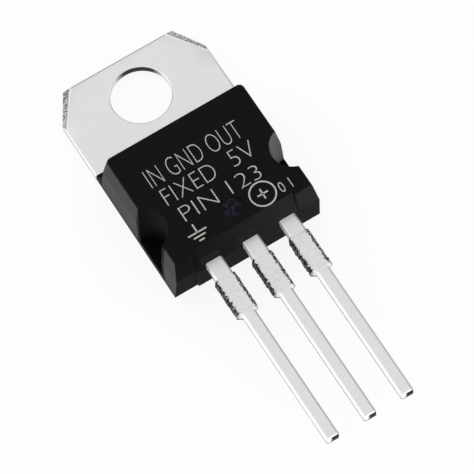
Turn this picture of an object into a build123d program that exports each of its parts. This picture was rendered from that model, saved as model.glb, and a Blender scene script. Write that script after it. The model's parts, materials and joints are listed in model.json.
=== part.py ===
from build123d import *
import os

# Three-lead linear voltage regulator in a single-gauge TO-220 outline, millimetres.
# The stamped tab lies in the XY plane with its back at z = 0, the mounting hole is centred
# on the origin, +Y runs to the tab's top edge and the leads run to -Y.

# --- stamped lead frame -----------------------------------------------------------------
GAUGE = 0.55                 # strip thickness, one gauge for tab and leads
TAB_WIDTH = 10.16
HOLE_DIAMETER = 3.80
HOLE_TO_TOP = 2.80           # hole centre to the tab's top edge
CORNER_CUT_ACROSS = 1.20     # sheared corners of the tab
CORNER_CUT_ALONG = 2.00
SHEAR_SLOPE = 0.28           # how far the sheared corner face leans inwards
SHEAR_DEPTH = 0.45
SKIRT_FORWARD = 0.40         # the tab steps in to the die pad this far before the moulding's face
PAD_WIDTH = 8.00
PAD_TO_LEAD_SIDE = 3.25      # die pad's end to the parting line on the lead side
PAD_RELIEF = 0.60            # step each side that keeps the pad clear of the side notches
PAD_RELIEF_LENGTH = 1.90
LEAD_RISE = 2.48             # back of the tab to the underside of the leads
LEAD_PITCH = 2.54
LEAD_ROOT_WIDTH = 1.15       # where a lead leaves the moulding
DAM_WIDTH = 1.30             # over the cut dam bar
LEAD_WIDTH = 0.70            # solderable end
DAM_START = 0.95             # moulding to the start of the wide stretch
SHOULDER_LENGTH = 3.85       # moulding to the end of the wide stretch
SHOULDER_TAPER = 0.20
LEAD_LENGTH = 13.35          # moulding to the tip
TIP_CHAMFER = 0.15
NECK_WIDTH = 1.30            # ground strip that climbs from the pad to the lead plane
JOGGLE_RADIUS = 0.60
JOGGLE_RUN = 1.30            # how far along Y the climb takes
FLAG_WIDTH = 2.10            # bonding flags on the input and output leads
FLAG_LENGTH = 1.50
FLAG_COVER = 0.80            # plastic between a flag and the lead-side face
FLAG_GAP = 0.60              # clear plastic between a flag and the ground strip

# --- moulding ---------------------------------------------------------------------------
BODY_HEIGHT = 4.45
SIDE_INSET = 0.01            # base of the moulding inside the tab's width, each side
LOWER_SIDE_DRAFT = 0.11      # each side, base to parting line
UPPER_SIDE_DRAFT = 0.23      # each side, parting line to top
BODY_TO_HOLE = 3.60          # hole centre to the tab-side face, on the tab's front
TAB_SIDE_DRAFT = 0.72        # how far the tab-side face leans back at the top
BODY_LENGTH = 9.15           # tab-side face to the parting line on the lead side
BASE_SETBACK = 0.28          # lead-side face: parting line to the base
TOP_SETBACK = 0.42           # lead-side face: parting line to the top
CORNER_SETBACK = 0.14        # the lead-side face is set back beside the outer leads
CENTRE_BLOCK_MARGIN = 0.38   # forward part of that face, beyond the outer leads
NOTCH_RADIUS = 1.40          # half-round notches in the two sides
NOTCH_CENTRE_OUTSIDE = 0.05  # notch centre beyond the base's side
NOTCH_TO_LEAD_SIDE = 3.05    # notch centre to the parting line on the lead side
NOTCH_FLOOR_COVER = 0.05     # floor of a notch above the front of the die pad
MARK_RADIUS = 0.75           # round ejector mark on the front
MARK_DEPTH = 0.08
MARK_TO_LEAD_SIDE = 1.70     # its centre to the parting line on the lead side
TOP_EDGE_RADIUS = 0.12

# --- die, solder and bond wires ---------------------------------------------------------
DIE_WIDTH = 2.60
DIE_LENGTH = 2.10
DIE_THICKNESS = 0.28
DIE_TO_PAD_END = 2.90        # centre of the die to the pad's end
SOLDER_THICKNESS = 0.05
SOLDER_MARGIN = 0.12
POWER_WIRE = 0.38            # wire diameters
SIGNAL_WIRE = 0.25
FOOT_LENGTH = 0.70           # flattened wedge bond at each end of a wire
FOOT_HEIGHT = 0.20
FOOT_SIDE = 0.06             # foot wider than its wire, each side
LOOP_SHARE = 0.61            # top of a loop's centre line, from the leads' top to the front
GROUND_LOOP = 0.75           # height of the short down bond over the die

# --- places worked out from the sizes above ----------------------------------------------
TAB_SIDE_Y = -BODY_TO_HOLE
SHOULDER_Y = TAB_SIDE_Y + SKIRT_FORWARD
LEAD_SIDE_Y = TAB_SIDE_Y - BODY_LENGTH
LEAD_TOP = LEAD_RISE + GAUGE
PARTING_Z = LEAD_RISE + GAUGE / 2
PAD_END_Y = LEAD_SIDE_Y + PAD_TO_LEAD_SIDE
BODY_BASE_WIDTH = TAB_WIDTH - 2 * SIDE_INSET
BODY_PARTING_WIDTH = BODY_BASE_WIDTH - 2 * LOWER_SIDE_DRAFT
BODY_TOP_WIDTH = BODY_PARTING_WIDTH - 2 * UPPER_SIDE_DRAFT
NOTCH_FLOOR = GAUGE + NOTCH_FLOOR_COVER
DIE_Y = PAD_END_Y + DIE_TO_PAD_END
DIE_BASE_Z = GAUGE + SOLDER_THICKNESS
DIE_TOP_Z = DIE_BASE_Z + DIE_THICKNESS
FLAG_OUTER_Y = LEAD_SIDE_Y + FLAG_COVER
FLAG_INNER_Y = FLAG_OUTER_Y + FLAG_LENGTH
FLAG_X = NECK_WIDTH / 2 + FLAG_GAP + FLAG_WIDTH / 2
LOOP_TOP_Z = LEAD_TOP + LOOP_SHARE * (BODY_HEIGHT - LEAD_TOP)


def plate(points, z, thickness):
    """A flat stamped piece with the given outline, from z upwards."""
    outline = make_face(Polyline(*points, close=True))
    return extrude(Location((0, 0, z)) * outline, thickness, dir=(0, 0, 1))


def lead_stem(x, inner_y):
    """The flat part of one lead, from inner_y inside the moulding to its tip."""
    dam_y = LEAD_SIDE_Y - DAM_START
    end_y = LEAD_SIDE_Y - SHOULDER_LENGTH
    tip_y = LEAD_SIDE_Y - LEAD_LENGTH
    side = [
        (LEAD_ROOT_WIDTH / 2, inner_y),
        (LEAD_ROOT_WIDTH / 2, dam_y),
        (DAM_WIDTH / 2, dam_y),
        (DAM_WIDTH / 2, end_y),
        (LEAD_WIDTH / 2, end_y - SHOULDER_TAPER),
        (LEAD_WIDTH / 2, tip_y + TIP_CHAMFER),
        (LEAD_WIDTH / 2 - TIP_CHAMFER, tip_y),
    ]
    outline = [(x + dx, y) for dx, y in side]
    outline += [(x - dx, y) for dx, y in reversed(side)]
    return plate(outline, LEAD_RISE, GAUGE)


def tab_plate():
    """Tab and die pad: sheared top corners, mounting hole, stepped-in pad."""
    half_tab = TAB_WIDTH / 2
    half_pad = PAD_WIDTH / 2
    relief_y = PAD_END_Y + PAD_RELIEF_LENGTH
    side = [
        (half_tab - CORNER_CUT_ACROSS, HOLE_TO_TOP),
        (half_tab, HOLE_TO_TOP - CORNER_CUT_ALONG),
        (half_tab, SHOULDER_Y),
        (half_pad, SHOULDER_Y),
        (half_pad, relief_y),
        (half_pad - PAD_RELIEF, relief_y),
        (half_pad - PAD_RELIEF, PAD_END_Y),
    ]
    outline = side + [(-x, y) for x, y in reversed(side)]
    metal = plate(outline, 0, GAUGE)
    for x_sign in (-1, 1):
        middle = Vector(x_sign * (half_tab - CORNER_CUT_ACROSS / 2),
                        HOLE_TO_TOP - CORNER_CUT_ALONG / 2, GAUGE)
        edge = metal.edges().sort_by(lambda e: (e.center() - middle).length)[0]
        front = metal.faces().sort_by(Axis.Z)[-1]
        metal = chamfer(edge, SHEAR_SLOPE, SHEAR_DEPTH, reference=front)
    return metal - Cylinder(HOLE_DIAMETER / 2, 3 * GAUGE)


def ground_joggle():
    """The strip that climbs from the die pad to the lead plane inside the moulding."""
    low = GAUGE / 2
    high = LEAD_RISE + GAUGE / 2
    foot_y = PAD_END_Y - JOGGLE_RADIUS
    head_y = foot_y - JOGGLE_RUN
    route = FilletPolyline((0, PAD_END_Y, low), (0, foot_y, low), (0, head_y, high),
                           (0, LEAD_SIDE_Y, high), radius=JOGGLE_RADIUS)
    section = Plane(route @ 0, x_dir=(1, 0, 0), z_dir=route % 0) * Rectangle(NECK_WIDTH, GAUGE)
    return sweep(section, route)


def tab_and_ground_lead():
    return tab_plate() + ground_joggle() + lead_stem(0, LEAD_SIDE_Y)


def outer_lead(x_sign):
    """Input (-1) or output (+1) lead with its bonding flag."""
    stem = lead_stem(x_sign * LEAD_PITCH, FLAG_INNER_Y)
    flag_y = (FLAG_INNER_Y + FLAG_OUTER_Y) / 2
    flag = Location((x_sign * FLAG_X, flag_y, PARTING_Z)) * Box(FLAG_WIDTH, FLAG_LENGTH, GAUGE)
    return stem + flag


def silicon_die():
    centre_z = DIE_BASE_Z + DIE_THICKNESS / 2
    return Location((0, DIE_Y, centre_z)) * Box(DIE_WIDTH, DIE_LENGTH, DIE_THICKNESS)


def die_attach_solder():
    width = DIE_WIDTH + 2 * SOLDER_MARGIN
    length = DIE_LENGTH + 2 * SOLDER_MARGIN
    centre_z = GAUGE + SOLDER_THICKNESS / 2
    return Location((0, DIE_Y, centre_z)) * Box(width, length, SOLDER_THICKNESS)


def bond_wire(start, end, loop_z, diameter):
    """One aluminium wire: a wedge foot on each surface point and an arched loop between."""
    start, end = Vector(*start), Vector(*end)
    run = Vector(end.X - start.X, end.Y - start.Y, 0).normalized()
    feet = []
    for point in (start, end):
        base = Plane(point, x_dir=run, z_dir=(0, 0, 1))
        foot = Box(FOOT_LENGTH, diameter + 2 * FOOT_SIDE, FOOT_HEIGHT,
                   align=(Align.CENTER, Align.CENTER, Align.MIN))
        feet.append(base * foot)
    rise = Vector(0, 0, FOOT_HEIGHT)
    crown = (start + end) * 0.5
    loop = ThreePointArc(start + rise, Vector(crown.X, crown.Y, loop_z), end + rise)
    section = Plane(loop @ 0, z_dir=loop % 0) * Circle(diameter / 2)
    return sweep(section, loop) + feet[0] + feet[1]


def bond_wires():
    """The four wires, by node name."""
    power_y = DIE_Y - DIE_LENGTH / 4
    power_x = DIE_WIDTH * 0.30
    flag_y = FLAG_OUTER_Y + FLAG_LENGTH * 0.60
    flag_out = FLAG_X + FLAG_WIDTH * 0.18
    flag_in = FLAG_X - FLAG_WIDTH * 0.24
    sense_y = DIE_Y + DIE_LENGTH / 4
    pad_point_y = (PAD_END_Y + DIE_Y - DIE_LENGTH / 2) / 2
    return {
        "bond_wire_input": bond_wire((-power_x, power_y, DIE_TOP_Z),
                                     (-FLAG_X, flag_y, LEAD_TOP), LOOP_TOP_Z, POWER_WIRE),
        "bond_wire_output": bond_wire((power_x, power_y, DIE_TOP_Z),
                                      (flag_in, flag_y, LEAD_TOP), LOOP_TOP_Z, POWER_WIRE),
        "bond_wire_sense": bond_wire((power_x * 1.2, sense_y, DIE_TOP_Z),
                                     (flag_out, flag_y, LEAD_TOP), LOOP_TOP_Z, SIGNAL_WIRE),
        "bond_wire_ground": bond_wire((0, power_y, DIE_TOP_Z), (0, pad_point_y, GAUGE),
                                      DIE_TOP_Z + GROUND_LOOP, SIGNAL_WIRE),
    }


def body_layer(low, high):
    """One drafted layer of the moulding, between two rectangles.

    Each rectangle is (z, width, y of its tab side, y of its lead side).
    """
    faces = []
    for z, width, tab_y, lead_y in (low, high):
        faces.append(Location((0, (tab_y + lead_y) / 2, z)) * Rectangle(width, tab_y - lead_y))
    return loft(faces, ruled=True)


def moulding_block():
    """The moulding's drafted outside: a skirt beside the pad, then the two mould halves."""
    lean = TAB_SIDE_DRAFT / (BODY_HEIGHT - GAUGE)
    at_gauge = GAUGE / PARTING_Z
    gauge_width = BODY_BASE_WIDTH + (BODY_PARTING_WIDTH - BODY_BASE_WIDTH) * at_gauge
    gauge_lead_y = LEAD_SIDE_Y + BASE_SETBACK * (1 - at_gauge)
    parting_tab_y = TAB_SIDE_Y - lean * (PARTING_Z - GAUGE)
    base = (0, BODY_BASE_WIDTH, SHOULDER_Y, LEAD_SIDE_Y + BASE_SETBACK)
    skirt_top = (GAUGE, gauge_width, SHOULDER_Y, gauge_lead_y)
    step = (GAUGE, gauge_width, TAB_SIDE_Y, gauge_lead_y)
    parting = (PARTING_Z, BODY_PARTING_WIDTH, parting_tab_y, LEAD_SIDE_Y)
    top = (BODY_HEIGHT, BODY_TOP_WIDTH, TAB_SIDE_Y - TAB_SIDE_DRAFT, LEAD_SIDE_Y + TOP_SETBACK)
    upper = body_layer(parting, top)
    upper = fillet(upper.faces().sort_by(Axis.Z)[-1].edges(), TOP_EDGE_RADIUS)
    return body_layer(base, skirt_top) + body_layer(step, parting) + upper


def corner_cutter(x_sign):
    """Takes CORNER_SETBACK off the lead-side face between a side and the outer lead."""
    inner_x = LEAD_PITCH + LEAD_ROOT_WIDTH / 2 + CENTRE_BLOCK_MARGIN
    reach = BODY_BASE_WIDTH / 2 - inner_x + 1
    profile = [
        (LEAD_SIDE_Y + BASE_SETBACK + CORNER_SETBACK, -1),
        (LEAD_SIDE_Y + BASE_SETBACK + CORNER_SETBACK, 0),
        (LEAD_SIDE_Y + CORNER_SETBACK, PARTING_Z),
        (LEAD_SIDE_Y + TOP_SETBACK + CORNER_SETBACK, BODY_HEIGHT),
        (LEAD_SIDE_Y + TOP_SETBACK + CORNER_SETBACK, BODY_HEIGHT + 1),
        (LEAD_SIDE_Y - 1, BODY_HEIGHT + 1),
        (LEAD_SIDE_Y - 1, -1),
    ]
    section = make_face(Plane.YZ * Polyline(*profile, close=True))
    start_x = inner_x if x_sign > 0 else -inner_x - reach
    return Location((start_x, 0, 0)) * extrude(section, reach, dir=(1, 0, 0))


def side_notch(x_sign):
    """Half-round pocket in one side, open to the front, with a thin floor left."""
    height = BODY_HEIGHT - NOTCH_FLOOR + 1
    centre_x = BODY_BASE_WIDTH / 2 + NOTCH_CENTRE_OUTSIDE
    place = Location((x_sign * centre_x, LEAD_SIDE_Y + NOTCH_TO_LEAD_SIDE, NOTCH_FLOOR))
    return place * Cylinder(NOTCH_RADIUS, height, align=(Align.CENTER, Align.CENTER, Align.MIN))


def ejector_mark():
    place = Location((0, LEAD_SIDE_Y + MARK_TO_LEAD_SIDE, BODY_HEIGHT - MARK_DEPTH))
    return place * Cylinder(MARK_RADIUS, 1, align=(Align.CENTER, Align.CENTER, Align.MIN))


def moulded_body(inside):
    """The epoxy moulding, cast round everything in inside."""
    body = moulding_block() - ejector_mark()
    for x_sign in (-1, 1):
        body = body - side_notch(x_sign) - corner_cutter(x_sign)
    for piece in inside:
        body = body - piece
    return body


if __name__ == "__main__":
    nodes = {
        "tab_and_ground_lead": tab_and_ground_lead(),
        "input_lead": outer_lead(-1),
        "output_lead": outer_lead(1),
        "die_attach_solder": die_attach_solder(),
        "silicon_die": silicon_die(),
        **bond_wires(),
    }
    nodes["moulded_body"] = moulded_body(list(nodes.values()))
    os.makedirs("parts", exist_ok=True)
    for name, shape in nodes.items():
        export_step(shape, f"parts/{name}.step")
        print(f"{name:22s} {len(shape.solids())} solid(s) {shape.volume:9.3f} mm3")
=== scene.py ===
# %% [markdown]
# # A three-lead voltage regulator
# The part is a slab of black epoxy cast round a stamped metal frame. One stamping makes the
# mounting tab and the middle lead, two more make the outer leads, and a silicon chip with its
# bond wires sits inside the epoxy. The lesson builds each of these as a closed mesh in the
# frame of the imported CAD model. Lengths and heights start from the CAD boxes, and the small
# features that the CAD model leaves out are named values beside the step that needs them.

# %% Load the frame
import json
from math import atan2, cos, hypot, pi, radians, sin, tan

import bmesh
import bpy
from mathutils import Matrix, Quaternion, Vector, noise


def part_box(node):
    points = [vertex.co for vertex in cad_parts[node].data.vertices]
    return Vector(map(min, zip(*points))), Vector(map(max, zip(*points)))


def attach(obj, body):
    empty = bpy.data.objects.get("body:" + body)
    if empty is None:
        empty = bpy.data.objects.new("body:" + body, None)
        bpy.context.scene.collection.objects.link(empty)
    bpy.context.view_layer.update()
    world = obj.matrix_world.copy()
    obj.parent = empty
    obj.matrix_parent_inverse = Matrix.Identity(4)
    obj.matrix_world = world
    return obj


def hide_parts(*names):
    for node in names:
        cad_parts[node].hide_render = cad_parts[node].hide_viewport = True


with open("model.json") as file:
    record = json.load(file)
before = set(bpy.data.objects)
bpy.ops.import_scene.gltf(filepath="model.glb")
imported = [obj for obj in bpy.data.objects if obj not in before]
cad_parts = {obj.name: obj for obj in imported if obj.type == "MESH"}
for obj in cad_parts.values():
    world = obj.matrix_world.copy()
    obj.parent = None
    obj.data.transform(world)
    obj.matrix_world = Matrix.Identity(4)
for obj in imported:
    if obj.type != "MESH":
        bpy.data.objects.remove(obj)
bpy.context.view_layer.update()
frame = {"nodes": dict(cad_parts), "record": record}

# %% [markdown]
# ## Measures taken from the CAD model
# A stamped frame has one thickness everywhere, which drafters call its gauge. The box of an
# outer lead gives the gauge and the height at which all three leads leave the epoxy. The
# record's mounts give the hole and the distance between leads. Everything is in metres.

# %% Measures
MM = 0.001
tab_low, tab_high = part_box("tab_and_ground_lead")
body_low, body_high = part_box("moulded_body")
lead_low, lead_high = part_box("input_lead")
mounts = {mount["name"]: mount for mount in frame["record"]["mounts"]}
hole_radius = mounts["tab_hole"]["dims"]["r_mm"] * MM
pitch = abs(mounts["input_lead_end"]["pos_m"][0])
gauge = lead_high.z - lead_low.z
parting_z = (lead_low.z + lead_high.z) / 2
top_z = body_high.z
shoulder_y = body_high.y
lead_side_y = body_low.y
tip_y = tab_low.y
print(f"gauge {gauge / MM:.2f} mm, hole {2 * hole_radius / MM:.2f} mm, pitch {pitch / MM:.2f} mm")

# %% [markdown]
# ## The camera
# Catalogue pictures of small parts are taken from far off with a long lens, which keeps
# parallel edges nearly parallel. The camera is given as it is set up in a studio: what it
# aims at, how far away it is, how high it looks from, which way it faces, and how much it is
# rolled. `to_track_quat` turns the looking direction into a level rotation, and the roll is
# one more turn about the camera's own axis.

# %% Camera
AIM = Vector((-0.29, -11.86, 2.00)) * MM
DISTANCE = 222.5 * MM
ELEVATION = radians(65.63)
HEADING = radians(24.39)
ROLL = radians(-7.73)
FOCAL_LENGTH = 285.2
SENSOR_WIDTH = 36.0
NEAREST_SEEN = 10 * MM
look = Vector((sin(HEADING) * cos(ELEVATION), cos(HEADING) * cos(ELEVATION), -sin(ELEVATION)))
lens = bpy.data.cameras.new("camera")
lens.sensor_width = SENSOR_WIDTH
lens.lens = FOCAL_LENGTH
lens.clip_start = NEAREST_SEEN
camera = bpy.data.objects.new("camera", lens)
bpy.context.scene.collection.objects.link(camera)
camera.location = AIM - look * DISTANCE
camera.rotation_mode = "QUATERNION"
camera.rotation_quaternion = look.to_track_quat("-Z", "Y") @ Quaternion((0, 0, 1), ROLL)
bpy.context.scene.camera = camera
bpy.context.scene.view_settings.view_transform = "Standard"
print("camera at", [round(value / MM, 1) for value in camera.location], "mm")

# %% [markdown]
# ## Shader arithmetic
# A shader node tree is a formula drawn as boxes. Writing it as Python keeps it short: this
# class wraps one output socket, and adding, multiplying or comparing two wrapped sockets adds
# the Math node that does it. A comparison gives 1 where it holds and 0 elsewhere, so masks
# are multiplied to mean "and", and the higher of two masks means "or". `lower` caps a sum.

# %% Signals
class Signal:
    """One output of a node, which ordinary arithmetic can work on."""

    def __init__(self, nodes, socket):
        self.nodes, self.socket = nodes, socket

    def maths(self, operation, first, second=0.0):
        return self.nodes.node("ShaderNodeMath", {"operation": operation}, {0: first, 1: second})

    def __add__(self, other):
        return self.maths("ADD", self, other)

    def __radd__(self, other):
        return self.maths("ADD", other, self)

    def __sub__(self, other):
        return self.maths("SUBTRACT", self, other)

    def __rsub__(self, other):
        return self.maths("SUBTRACT", other, self)

    def __mul__(self, other):
        return self.maths("MULTIPLY", self, other)

    def __rmul__(self, other):
        return self.maths("MULTIPLY", other, self)

    def __gt__(self, other):
        return self.maths("GREATER_THAN", self, other)

    def __lt__(self, other):
        return self.maths("LESS_THAN", self, other)

    def __abs__(self):
        return self.maths("ABSOLUTE", self)

    def higher(self, other):
        return self.maths("MAXIMUM", self, other)

    def lower(self, other):
        return self.maths("MINIMUM", self, other)

    def snapped(self, step):
        return self.maths("SNAP", self, step)


print("signals ready")

# %% [markdown]
# ## Node trees
# `NodeTree.node` is the only place that makes a node. It takes the node's type, then its
# settings, and then what goes into its sockets. The short methods after it are the few nodes
# that this part needs: the point in millimetres, the surface's direction, noise, a ramp, a
# colour mix and a bump.

# %% Node trees
class NodeTree:
    """A node tree that formulas are written into."""

    def __init__(self, tree):
        self.tree = tree

    def node(self, kind, settings=None, inputs=None, output=0):
        made = self.tree.nodes.new(kind)
        for name, value in (settings or {}).items():
            setattr(made, name, value)
        for name, value in (inputs or {}).items():
            if isinstance(value, Signal):
                self.tree.links.new(value.socket, made.inputs[name])
            else:
                made.inputs[name].default_value = value
        return Signal(self, made.outputs[output])

    def split(self, vector):
        made = self.node("ShaderNodeSeparateXYZ", inputs={0: vector}).socket.node
        return [Signal(self, made.outputs[axis]) for axis in range(3)]

    def stretch(self, vector, scale):
        return self.node("ShaderNodeVectorMath", {"operation": "MULTIPLY"}, {0: vector, 1: scale})

    def noise(self, vector, scale, detail=3.0, roughness=0.5):
        return self.node("ShaderNodeTexNoise", {}, {"Vector": vector, "Scale": scale,
                                                    "Detail": detail, "Roughness": roughness})

    def between(self, value, low, high):
        """0 at low and 1 at high, with a straight climb between them, and flat beyond them."""
        return self.node("ShaderNodeMapRange", {"clamp": True},
                         {"Value": value, "From Min": low, "From Max": high})

    def mix(self, factor, first, second):
        return self.node("ShaderNodeMix", {"data_type": "RGBA"},
                         {0: factor, 6: first, 7: second}, output=2)

    def bump(self, height, depth, strength=1.0):
        return self.node("ShaderNodeBump", {}, {"Height": height, "Distance": depth,
                                                "Strength": strength})

    def millimetres(self):
        """The point being shaded, in the object's own frame, in millimetres."""
        place = self.node("ShaderNodeTexCoord", output="Object")
        return self.node("ShaderNodeVectorMath", {"operation": "SCALE"}, {0: place, "Scale": 1 / MM})

    def facing(self):
        """The surface's direction in the object's own frame, as x, y and z."""
        return self.split(self.node("ShaderNodeTexCoord", output="Normal"))


print("node trees ready")

# %% [markdown]
# A finish is a material's node tree with its Principled shader. What is the same all over is
# set on the shader's own sockets, and `drive` links what varies.

# %% Finishes
class Finish(NodeTree):
    """A material under construction, with its Principled shader."""

    def __init__(self, name, **shader_values):
        self.material = bpy.data.materials.new(name)
        self.material.use_nodes = True
        super().__init__(self.material.node_tree)
        self.shader = self.tree.nodes["Principled BSDF"]
        for socket, value in shader_values.items():
            self.shader.inputs[socket.replace("_", " ")].default_value = value

    def drive(self, socket, signal):
        self.tree.links.new(signal.socket, self.shader.inputs[socket])


def grey(level, warmth=0.0):
    """A neutral linear colour; warmth moves it towards red and away from blue."""
    return (level * (1 + warmth), level, level * (1 - warmth), 1.0)


print("finish helpers ready")

# %% [markdown]
# ## Light
# A pale sweep and soft light from all round give the shadowless look of a catalogue. Nearly
# all of the light comes from the world, which is white to the camera and slightly less for
# lighting. Two weak square lamps, one beyond the left side and one before the leads, make
# those sides a little brighter. The Light Path node tells the kinds of ray apart.

# %% World and lamps
WORLD_LEVEL = 0.96
LAMP_POWER = 0.14
LAMP_SIZE = 0.12


def rays(nodes, kinds=("Is Camera Ray", "Is Glossy Ray", "Is Transmission Ray")):
    """1 for the listed kinds of ray, 0 for the others."""
    found = [nodes.node("ShaderNodeLightPath", output=kind) for kind in kinds]
    total = found[0]
    for other in found[1:]:
        total = total.higher(other)
    return total


def add_lamp(name, place):
    """A square soft lamp that points at the part."""
    data = bpy.data.lights.new(name, "AREA")
    data.size, data.energy = LAMP_SIZE, LAMP_POWER
    lamp = bpy.data.objects.new(name, data)
    bpy.context.scene.collection.objects.link(lamp)
    lamp.location = place
    lamp.rotation_euler = (AIM - Vector(place)).to_track_quat("-Z", "Y").to_euler()


world = bpy.data.worlds.new("studio")
bpy.context.scene.world = world
world.use_nodes = True
sky = NodeTree(world.node_tree)
background = sky.tree.nodes["Background"]
background.inputs["Color"].default_value = grey(1.0)
sky_level = rays(sky, ("Is Camera Ray",)) * (1 - WORLD_LEVEL) + WORLD_LEVEL
sky.tree.links.new(sky_level.socket, background.inputs["Strength"])
add_lamp("left_lamp", (-0.32, 0.12, 0.08))
add_lamp("front_lamp", (0.08, -0.32, 0.15))
print("world and lamps set")

# %% [markdown]
# ## Floor
# The floor is drawn as glowing white for the camera and for mirror-like rays, mixed with a
# little ordinary paint. So it stays nearly white and still takes a faint contact shadow,
# which a pure glow would lose.

# %% Floor
FLOOR_PAINT = 0.14
FLOOR_HALF = 0.5
FLOOR_GAP = 0.02 * MM

white = Finish("floor_white", Roughness=0.9, Specular_IOR_Level=0.0)
cloudy = white.noise(white.millimetres(), 0.05)
white.drive("Base Color", white.mix(cloudy, grey(0.93), grey(0.95)))
glow = white.node("ShaderNodeEmission", inputs={"Color": grey(1.0), "Strength": 1.0})
blend = white.node("ShaderNodeMixShader", inputs={0: rays(white) * (1 - FLOOR_PAINT), 2: glow})
white.tree.links.new(white.shader.outputs[0], blend.socket.node.inputs[1])
white.tree.links.new(blend.socket, white.tree.nodes["Material Output"].inputs[0])

floor_shape = bmesh.new()
bmesh.ops.create_grid(floor_shape, x_segments=2, y_segments=2, size=FLOOR_HALF)
bmesh.ops.translate(floor_shape, verts=floor_shape.verts, vec=(0, 0, -FLOOR_GAP))
floor_mesh = bpy.data.meshes.new("floor")
floor_shape.to_mesh(floor_mesh)
floor_shape.free()
floor_mesh.materials.append(white.material)
floor = bpy.data.objects.new("floor", floor_mesh)
bpy.context.scene.collection.objects.link(floor)
print("floor laid")

# %% [markdown]
# ## Tin plate
# The frame is copper strip with a thin matte tin plate, and one material serves all three
# stampings. It could be painted on a UV map, but each piece would then need a map of its own.
# Here the finish reads the place and the direction of each point instead. It starts with
# masks, each 1 where something holds: on a lead, in the stretch where the strip's tie bar was
# cut away, inside the hole, on a punched edge, on a rolled-over rim.

# %% Tin masks
ROOT_LENGTH = 1.25 * MM
DAM_LENGTH = 2.55 * MM
LEAD_SHIFT = 0.13 * MM


def from_lead_centre(nodes, x):
    """How far x is from the nearest lead's centre line, with its sign."""
    return x - (x + 0.5 * pitch / MM).snapped(pitch / MM)


tin = Finish("tin_plate", Metallic=1.0)
place = tin.millimetres()
x, y, z = tin.split(place)
facing_x, facing_y, facing_z = tin.facing()
punched = tin.between(abs(facing_z), 0.78, 0.62)
rolled = tin.between(facing_z, 0.997, 0.975)
on_front = tin.between(facing_z, -0.2, 0.2)
turned_away = 0.41 * facing_x + 0.91 * facing_y
# The next mask picks out surfaces that face the tips and the left, for a painted highlight on rims
# and punched edges.
painted_highlight_side = tin.between(turned_away, 0.04, -0.04)
in_hole = (x * x + y * y) < (hole_radius / MM + 0.02) ** 2

body_edge = lead_side_y / MM
dam_start = body_edge - ROOT_LENGTH / MM
dam_end = dam_start - DAM_LENGTH / MM
on_lead = tin.between(y, body_edge + 0.2, body_edge - 0.2)
in_dam = (tin.between(y, dam_start + 0.05, dam_start - 0.10)
          * tin.between(y, dam_end - 0.15, dam_end))
across = from_lead_centre(tin, x - LEAD_SHIFT / MM)
tab_top = tab_high.y / MM
# A thin band along the tab's top edge, on its upward faces, gets a painted shade.
top_edge_shade = tin.between(y, tab_top - 0.12, tab_top - 0.08) * on_front
print(f"tie bar cut away between y {dam_start:.2f} and {dam_end:.2f} mm")

# %% [markdown]
# A sheared corner is a band beside a slanting line, the tab's cut edge. The distance of a
# point past that line picks the band out: `past_corner` is 0 on the line and grows outwards.

# %% Mask of the sheared corners
CORNER_ACROSS = 1.20 * MM
CORNER_ALONG = 2.00 * MM
SHEAR_BAND = 0.25
SHEAR_SPREAD = 0.080
corner_slope = hypot(CORNER_ACROSS, CORNER_ALONG)
beyond_side = abs(x) - tab_high.x / MM
up_corner = y - (tab_high.y - CORNER_ALONG) / MM
past_corner = (beyond_side * (CORNER_ALONG / corner_slope)
               + up_corner * (CORNER_ACROSS / corner_slope))
band = past_corner + SHEAR_BAND + SHEAR_SPREAD * up_corner
tab_front = (y > 0) * on_front
sheared = tin.between(band, 0.0, 0.04) * tab_front
# Beside the sheared band a burnish line is picked out, for a painted white highlight.
burnish_highlight = tin.between(band, -0.12, -0.08) * tin.between(band, 0.04, 0.0) * tab_front
print(f"sheared corners {CORNER_ACROSS / MM:.2f} mm across and {CORNER_ALONG / MM:.2f} mm along")

# %% [markdown]
# Rolled strip has a faint grain, and slight patches where the plate is thicker. The leads are
# more worn than the tab, most of all where the tie bar was. A rolled-over rim gets a painted
# highlight where it faces the tips and a painted shade where it faces away, and a band of
# painted shade runs along the tab's top edge. A sheared corner is crushed metal, dark, with
# pale crests painted in as highlights, beside a burnish line painted as a white highlight.

# %% Flat faces of the tin
patches = tin.noise(place, 1.6, 4.0, 0.6)
grain = tin.noise(place, 14.0, 3.0, 0.6)
crushed = tin.noise(place, 8.0, 3.0, 0.7)
flat_colour = tin.mix(patches * 0.6 + grain * 0.4, grey(0.71, 0.004), grey(0.81, 0.002))
worn = tin.between(grain, 0.50, 0.70) * on_lead * (0.25 + 0.75 * in_dam)
flat_colour = tin.mix(worn, flat_colour, grey(0.56, 0.01))
# Rims that face away get a painted shade, darker on the tab than on the leads; rims that face the
# tips get a painted highlight.
shaded_rim = tin.mix(on_lead, grey(0.42, 0.01), grey(0.54, 0.01))
flat_colour = tin.mix(rolled, flat_colour, tin.mix(painted_highlight_side, shaded_rim, grey(0.92)))
# Painted shade along the tab's top edge.
flat_colour = tin.mix(top_edge_shade, flat_colour, grey(0.28, 0.01))
# A painted white highlight along the burnish line beside each sheared corner.
flat_colour = tin.mix(burnish_highlight * tin.between(grain, 0.35, 0.55), flat_colour, grey(0.96))
# The sheared corner is dark crushed metal whose pale crests are painted highlights.
crushed_tone_and_highlights = tin.mix(tin.between(crushed, 0.38, 0.60), grey(0.10, 0.01), grey(0.62, 0.01))
flat_colour = tin.mix(sheared, flat_colour, crushed_tone_and_highlights)
print("flat faces of the tin ready")

# %% [markdown]
# A punch shears the metal until the rest of it breaks, which leaves fine upright scratches
# and a duller face. Stretching a noise along Z draws them. Punched faces that face the tips
# get a painted highlight; the rest keep a darker grey that is partly painted shade. Where the
# tie bar was cut, both edges are torn and nearly black. The hole's wall gets painted shade
# where it faces the leads, apart from its lowest 0.05 mm, and is pale elsewhere. Part of each
# snipped tip is dark.

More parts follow.
